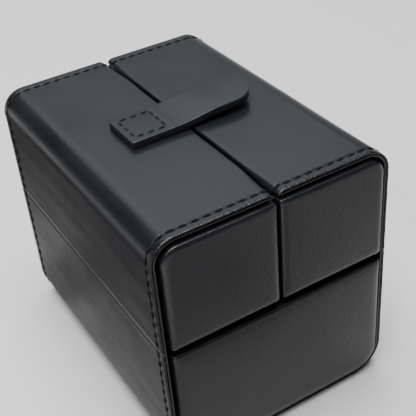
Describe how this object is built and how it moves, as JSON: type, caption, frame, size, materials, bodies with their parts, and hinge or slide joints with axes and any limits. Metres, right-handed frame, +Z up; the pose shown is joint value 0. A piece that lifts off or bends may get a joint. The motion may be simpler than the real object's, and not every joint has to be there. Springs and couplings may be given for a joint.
{
  "type": "cufflink box with drawer",
  "caption": "Leather-covered cufflink box with two butterfly lids closed by a magnetic strap over a divided tray, and a drawer below.",
  "frame": {"origin": "middle of the footprint, on the surface that the box stands on", "axes": "+Z up, +Y along the slit between the lids towards the fixed rear end, drawer opens towards -Y, +X across from the left lid to the right lid"},
  "size_m": [0.098, 0.134, 0.1137],
  "materials": {
    "black_leather": "smooth satin calf leather with a fine grain",
    "strap_leather": "smooth strap leather with painted edges",
    "nickel_plate": "nickel-plated steel",
    "panel_foam": "thin padding foam",
    "suede_lining": "short suede microfibre",
    "cushion_suede": "suede microfibre over foam",
    "suede_board": "thin board wrapped in suede microfibre",
    "casing_board": "formed fibreboard covered in black paper",
    "panel_board": "dense grey board",
    "felt": "short black felt"
  },
  "bodies": {
    "base": {"base_casing": "casing_board", "base_leather": "black_leather", "base_bottom_pad": "felt", "base_lining": "suede_lining", "base_rear_lining": "suede_lining", "base_rear_panel_board": "panel_board", "base_rear_panel_foam": "panel_foam", "base_rear_panel_leather": "black_leather", "shelf_board": "suede_board", "shelf_lining": "suede_lining", "tray_floor": "suede_board", "tray_side_walls": "suede_board", "tray_front_wall": "suede_board", "tray_rear_wall": "suede_board", "tray_long_divider": "suede_board", "tray_cross_dividers": "suede_board", "tray_cushions": "cushion_suede"},
    "drawer": {"drawer_tub": "suede_board", "drawer_front_wall": "suede_board", "drawer_back_wall": "suede_board", "drawer_lining": "suede_lining", "drawer_divider": "suede_board", "drawer_front_panel_board": "panel_board", "drawer_front_panel_foam": "panel_foam", "drawer_front_panel_leather": "black_leather"},
    "left_lid": {"left_lid_leather": "black_leather", "left_lid_casing": "casing_board", "left_lid_lining": "suede_lining", "left_lid_end_linings": "suede_lining", "left_lid_rear_panel_board": "panel_board", "left_lid_rear_panel_foam": "panel_foam", "left_lid_rear_panel_leather": "black_leather", "left_lid_front_panel_board": "panel_board", "left_lid_front_panel_foam": "panel_foam", "left_lid_front_panel_leather": "black_leather", "strap_anchor": "strap_leather"},
    "right_lid": {"right_lid_leather": "black_leather", "right_lid_casing": "casing_board", "right_lid_lining": "suede_lining", "right_lid_end_linings": "suede_lining", "right_lid_rear_panel_board": "panel_board", "right_lid_rear_panel_foam": "panel_foam", "right_lid_rear_panel_leather": "black_leather", "right_lid_front_panel_board": "panel_board", "right_lid_front_panel_foam": "panel_foam", "right_lid_front_panel_leather": "black_leather", "closure_keeper": "nickel_plate", "closure_washer": "nickel_plate"},
    "strap": {"strap_face": "strap_leather", "strap_backing": "strap_leather", "closure_magnet": "nickel_plate"}
  },
  "joints": [
    {"name": "left_lid_hinge", "type": "hinge", "parent": "base", "child": "left_lid", "pos_m": [-0.0494, 0, 0.061], "axis": [0, -1, 0], "range_deg": [0, 175]},
    {"name": "right_lid_hinge", "type": "hinge", "parent": "base", "child": "right_lid", "pos_m": [0.0494, 0, 0.061], "axis": [0, 1, 0], "range_deg": [0, 175]},
    {"name": "strap_fold", "type": "hinge", "parent": "left_lid", "child": "strap", "pos_m": [-0.0087, 0, 0.1112], "axis": [0, -1, 0], "range_deg": [0, 170]},
    {"name": "drawer_slide", "type": "slide", "parent": "base", "child": "drawer", "axis": [0, -1, 0], "range_m": [0, 0.095]}
  ],
  "couplings": [
    {"joint": "right_lid_hinge", "follows": "left_lid_hinge", "ratio": 1}
  ]
}
